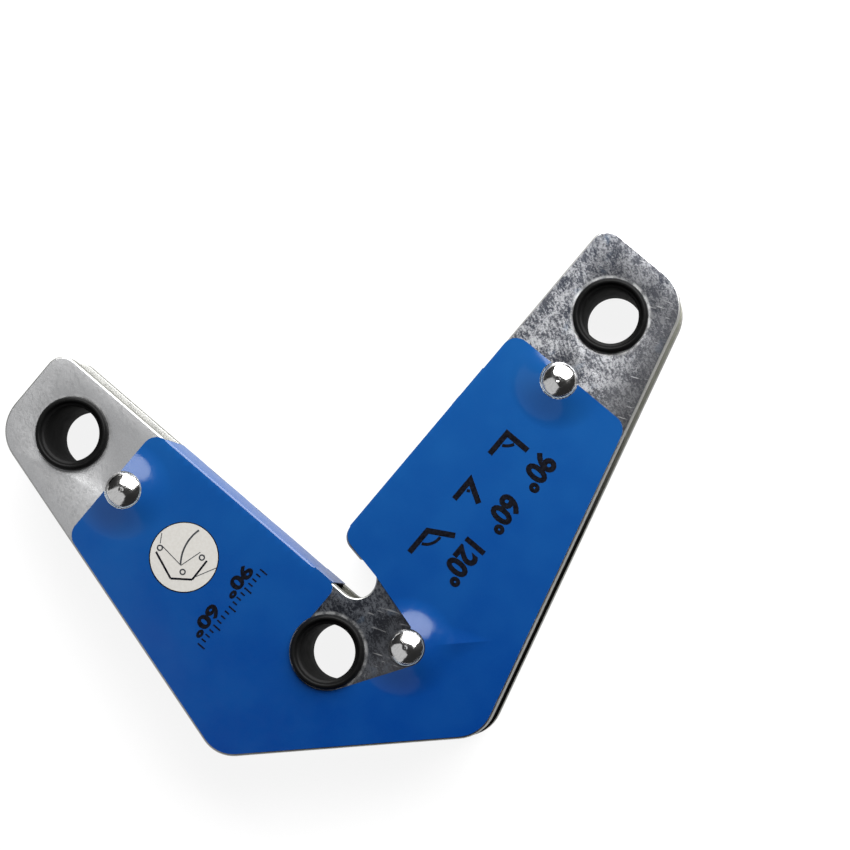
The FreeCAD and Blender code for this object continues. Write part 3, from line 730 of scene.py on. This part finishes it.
def angle_sign(degrees):
    """Two bars that meet at the angle, with an arc between them."""
    turn = math.radians(degrees)
    across, up = SIGN_LEG * math.cos(turn), SIGN_LEG * math.sin(turn)
    side_x, side_y = SIGN_WIDE * math.sin(turn), SIGN_WIDE * math.cos(turn)
    vertex = (-(SIGN_LEG + min(0, across)) / 2, -up / 2)
    inner = SIGN_WIDE / math.tan(turn / 2)
    corners = [(0, 0), (SIGN_LEG, 0), (SIGN_LEG, SIGN_WIDE), (inner, SIGN_WIDE),
               (across + side_x, up - side_y), (across, up)]
    shape = bmesh.new()
    outline(shape, [(vertex[0] + x, vertex[1] + y) for x, y in corners])
    band(shape, vertex, SIGN_ARC, SIGN_ARC_WIDE, SIGN_ARC_SHORT, degrees - SIGN_ARC_SHORT)
    return shape


def right_arm_print():
    """A row of angles in figures, and a row of signs for the same angles."""
    figures("angle_row", "90°  60°  120°", on_right(*ANGLE_ROW), ANGLE_ROW_SIZE, INK_BLACK)
    for degrees, along in SIGNS.items():
        place = on_right(along, SIGNS_ACROSS)
        lay(angle_sign(degrees), "angle_sign_%d" % degrees, place, INK_BLACK)


def left_arm_print():
    """The small row of figures and the scale under it."""
    figures("small_angle_row", "90°  60°", on_left(*SMALL_ROW), SMALL_ROW_SIZE, INK_BLACK)
    scale = bmesh.new()
    base = -TICK_LONG / 2
    for number in range(TICKS):
        x = (number - (TICKS - 1) / 2) * TICK_PITCH
        high = TICK_LONG if number % TICK_LONG_EVERY == 0 else TICK_SHORT
        bar(scale, (x, base), (x, base + high), TICK_WIDE)
    lay(scale, "tick_row", on_left(*TICK_ROW), INK_BLACK)


# The disc's drawing has its own axes: X and Y of the frame, from the disc's middle.
DISC_PLACE = (17.65, 12.95)
DISC_RADIUS = 5.7
DISC_RIM_WIDE = 0.18
DISC_CUTS = 72
LINES_HIGHER = 0.6 * PRINT_HIGH
HOLDER_OUTSIDE = ((-4.6, 1.3), (-2.5, -3.3), (1.1, -3.8), (3.8, -0.9))
HOLDER_INSIDE = ((-3.6, 2.3), (-0.6, -1.3), (2.8, 0.6))
HOLDER_HOLES = ((-3.9, 1.9), (3.0, -0.3), (-0.4, -2.4))
HOLE_RADIUS = 0.30
HOLE_LINE = 0.24
SHORT_LINES = (((1.6, -3.4), (5.3, -2.2)), ((-3.8, 2.6), (-3.4, 4.3)))
HEAVY_LINE = 0.34
FINE_LINE = 0.14
ROD_CENTRE = (6.4, -1.9)
ROD_RADIUS = 6.95
ROD_LINE = 0.30
ROD_TURN = (174, 120)


def disc_print():
    """Pale disc with a dark rim and a line drawing of a V-shaped holder with a rod in it."""
    centre = on_left(*DISC_PLACE)
    disc = bmesh.new()
    outline(disc, arc((0, 0), DISC_RADIUS, 0, 360, DISC_CUTS)[:-1])
    lay(disc, "disc", centre, INK_PALE)
    rim = bmesh.new()
    ring(rim, (0, 0), DISC_RADIUS, DISC_RIM_WIDE, DISC_CUTS // 2)
    lay(rim, "disc_rim", centre, INK_BLACK)
    drawing = {"across": Vector((1, 0, 0)), "up": Vector((0, 1, 0))}
    above = centre + Vector((0, 0, LINES_HIGHER * MM))
    heavy = bmesh.new()
    stroke(heavy, HOLDER_OUTSIDE, HEAVY_LINE)
    lay(heavy, "disc_outline", above, INK_BLACK, **drawing)
    fine = bmesh.new()
    for points in (HOLDER_INSIDE, *SHORT_LINES):
        stroke(fine, points, FINE_LINE)
    for hole in HOLDER_HOLES:
        ring(fine, hole, HOLE_RADIUS, HOLE_LINE)
    lay(fine, "disc_lines", above, INK_GREY, **drawing)
    rod = bmesh.new()
    band(rod, ROD_CENTRE, ROD_RADIUS, ROD_LINE, *ROD_TURN, count=10)
    lay(rod, "disc_rod", above, INK_GREY, **drawing)


# ---------------------------------------------------------------- bushings
BUSH_TURNS = 96
TUBE_RADIUS = 5.68        # just inside the plates' holes
FLANGE_BREAK = (0.06, 0.04)   # the flange's lower edge: in, and up from the front plate
# The section's corners. Ledge and lip: out from the bore, down from the top. Shoulder: in from the
# flange's edge, down from the top. Staked rim: radius and level.
BORE_CUTS = (0.55, 6.0, 12.0)
LEDGE = ((0.0, 1.25), (0.06, 1.08), (0.18, 0.98), (0.42, 0.92), (0.52, 0.84))
LIP = ((0.58, 0.45), (0.66, 0.22), (0.80, 0.07), (0.98, 0.0), (1.14, 0.04))
SHOULDER = ((0.30, 0.20), (0.12, 0.45), (0.02, 0.80), (0.0, 1.10))
STAKED_RIM = ((6.12, 0.72), (6.12, 0.42), (5.96, 0.18), (5.62, 0.05), (5.30, 0.0), (4.95, 0.06),
              (4.70, 0.24))
STAKED_EDGE = 5.95        # where the staked rim meets the back plate
STAKED_INSIDE = 0.02      # how far inside the plate the tube's end turns out into the rim
STAKED_UNEVEN = 0.10
STAKED_SHRINK = 0.02
STAKED_LUMPS = 3.1        # about how many lumps go once round the staked rim
STAKED_PLACE = 900        # keeps the three rims different


def bushing_profile(top):
    """Radius and level of the section's corners, from the bore's back end and back to it."""
    plate = PLATE_TOP / MM
    back = BACK_BOTTOM / MM
    break_in, break_up = FLANGE_BREAK
    return [
        *[(BORE_RADIUS, level) for level in BORE_CUTS],
        *[(BORE_RADIUS + out, top - down) for out, down in LEDGE + LIP],
        *[(FLANGE_RADIUS - inward, top - down) for inward, down in SHOULDER],
        (FLANGE_RADIUS, plate + break_up), (FLANGE_RADIUS - break_in, plate),
        (TUBE_RADIUS, plate), (TUBE_RADIUS, back + STAKED_INSIDE), (STAKED_EDGE, back),
        *STAKED_RIM,
    ]


def lathed_bushing(side):
    """Flanged tube with a rounded lip, a sunk ledge inside it, and a hand-staked back rim."""
    centre = Vector(MOUNTS[side + "_bore"]["pos_m"])
    profile = bushing_profile(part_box(side + "_bushing")[1].z / MM)
    back = BACK_BOTTOM / MM
    mesh = bmesh.new()
    rows = []
    for turn in range(BUSH_TURNS):
        angle = 2 * math.pi * turn / BUSH_TURNS
        ray = Vector((math.cos(angle), math.sin(angle), 0))
        row = []
        for radius, level in profile:
            if level < back and radius > BORE_RADIUS:
                seed = ray * STAKED_LUMPS + Vector((centre.x, centre.y, level * MM)) * STAKED_PLACE
                uneven = noise.noise(seed)
                radius += STAKED_UNEVEN * uneven * smooth(1 - level / back) - STAKED_SHRINK
                level += STAKED_UNEVEN * max(0.0, uneven)
            out = radius * MM
            row.append(mesh.verts.new((centre.x + ray.x * out, centre.y + ray.y * out, level * MM)))
        rows.append(row)
    count = len(profile)
    for here, there in zip(rows, rows[1:] + rows[:1]):
        for step in range(count):
            following = (step + 1) % count
            mesh.faces.new((here[step], here[following], there[following], there[step]))
    bmesh.ops.recalc_face_normals(mesh, faces=mesh.faces[:])
    closed(mesh, side + "_bushing_turned", "bushing_plastic", crisp=55, replaced=side + "_bushing")


for plate in ("front", "back"):
    soft_edged_plate(plate)
laid_label()
right_arm_print()
left_arm_print()
disc_print()
for bushing in SIDES:
    lathed_bushing(bushing)

# ---------------------------------------------------------------- stage
FLOOR_HALF = 3.0      # metres from the floor's middle to its sides
FLOOR_DROP = 0.02     # mm between the part and the floor
FLOOR_GREY = (0.12, 0.12, 0.12, 1)
FLOOR_GLOW = 0.88
DIM_WORLD = 0.022
CAMERA_PLACE = Vector((0.06511, -0.02649, 0.51757))   # metres
CAMERA_AIM = Vector((0.01352, 0.01125, LABEL_TOP))
CAMERA_ROLL = -4.595                                  # degrees
CAMERA_LENS = 130
CAMERA_SENSOR = 36


def plain_stage():
    """Pale floor that glows a little, as a light table does, so that it stays pale under the part."""
    corners = [(x * FLOOR_HALF, y * FLOOR_HALF, 0) for x, y in ((-1, -1), (1, -1), (1, 1), (-1, 1))]
    mesh = bpy.data.meshes.new("floor")
    mesh.from_pydata(corners, [], [(0, 1, 2, 3)])
    floor = bpy.data.objects.new("floor", mesh)
    bpy.context.collection.objects.link(floor)
    floor.location.z = cad_box[0][2] - FLOOR_DROP * MM
    glowing = Finish("floor").set(Base_Color=FLOOR_GREY, Roughness=0.9,
                                  Emission_Color=(1, 1, 1, 1), Emission_Strength=FLOOR_GLOW)
    mesh.materials.append(glowing)


def panel(name, azimuth, polar, distance, size, radiance, colour=(1, 1, 1)):
    """Flat light that faces the part, distance metres away at these angles, polar from +Z."""
    turn, tip = math.radians(azimuth), math.radians(polar)
    away = Vector((math.cos(turn) * math.sin(tip), math.sin(turn) * math.sin(tip), math.cos(tip)))
    light = bpy.data.lights.new(name, "AREA")
    light.shape = "RECTANGLE"
    light.size, light.size_y = size
    light.energy = radiance * math.pi * light.size * light.size_y
    light.color = colour
    holder = bpy.data.objects.new(name, light)
    bpy.context.collection.objects.link(holder)
    holder.location = Vector((0, 0, LABEL_TOP)) + away * distance
    holder.rotation_euler = (-away).to_track_quat("-Z", "Y").to_euler()


def studio():
    """A big softbox beyond the long arm, a grey reflector on the near left, dark gaps between."""
    panel("softbox", azimuth=60, polar=54.5, distance=0.45, size=(0.70, 0.53), radiance=9.5)
    panel("reflector", azimuth=209, polar=51, distance=0.45, size=(0.70, 0.68), radiance=0.50,
          colour=(0.97, 0.98, 1.0))
    world = bpy.data.worlds.new("studio")
    bpy.context.scene.world = world
    world.use_nodes = True
    background = world.node_tree.nodes["Background"]
    background.inputs["Color"].default_value = (1, 1, 1, 1)
    background.inputs["Strength"].default_value = DIM_WORLD


def look():
    """Camera almost overhead, leaning to the long arm's side."""
    back = (CAMERA_PLACE - CAMERA_AIM).normalized()
    right = Vector((0, 1, 0)).cross(back).normalized()
    up = back.cross(right)
    upright = Matrix((right, up, back)).transposed()
    turned = upright @ Matrix.Rotation(math.radians(CAMERA_ROLL), 3, "Z")
    data = bpy.data.cameras.new("camera")
    data.sensor_width = CAMERA_SENSOR
    data.lens = CAMERA_LENS
    camera = bpy.data.objects.new("camera", data)
    bpy.context.collection.objects.link(camera)
    camera.matrix_world = Matrix.Translation(CAMERA_PLACE) @ turned.to_4x4()
    bpy.context.scene.camera = camera


plain_stage()
studio()
look()
bpy.context.scene.view_settings.view_transform = "Standard"
